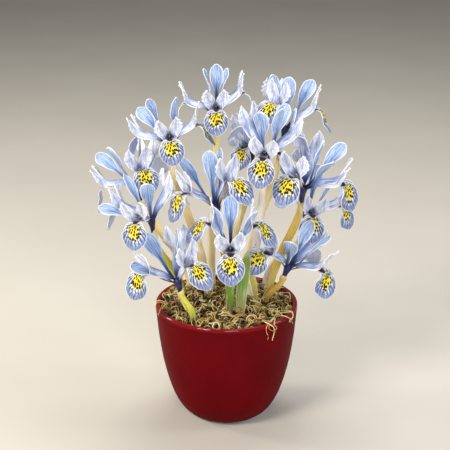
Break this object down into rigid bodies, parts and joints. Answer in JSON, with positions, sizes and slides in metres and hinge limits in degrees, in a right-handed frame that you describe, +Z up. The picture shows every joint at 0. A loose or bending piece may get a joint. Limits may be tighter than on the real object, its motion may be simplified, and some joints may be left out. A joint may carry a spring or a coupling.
{
  "type": "potted reticulated iris",
  "caption": "Glazed flower pot of dwarf irises in bloom: pale blue flowers with yellow, dark-speckled falls on sheathed stems, in soil covered with dry moss.",
  "frame": {"origin": "centre of the pot's flat base, on the surface that it stands on", "axes": "+Z upwards along the pot's axis, -Y towards the front of the arrangement, +X to its right-hand side as seen from the front"},
  "size_m": [0.2169, 0.152, 0.2823],
  "materials": {
    "glaze": "gloss",
    "soil": "matte",
    "moss": "matte",
    "stem": "satin",
    "petal": "matte"
  },
  "bodies": {
    "root": {"pot": "glaze", "soil": "soil", "moss": "moss", "plant_top": "stem", "bloom_top": "petal", "plant_top_right": "stem", "bloom_top_right": "petal", "plant_upper_left": "stem", "bloom_upper_left": "petal", "plant_far_left": "stem", "bloom_far_left": "petal", "plant_lower_left": "stem", "bloom_lower_left": "petal", "plant_centre": "stem", "bloom_centre": "petal", "plant_centre_right": "stem", "bloom_centre_right": "petal", "plant_back": "stem", "bloom_back": "petal", "plant_right": "stem", "bloom_right": "petal", "plant_lower_right": "stem", "bloom_lower_right": "petal", "plant_front": "stem", "bloom_front": "petal", "plant_front_left": "stem", "bloom_front_left": "petal", "plant_front_right": "stem", "bloom_front_right": "petal"}
  },
  "joints": []
}
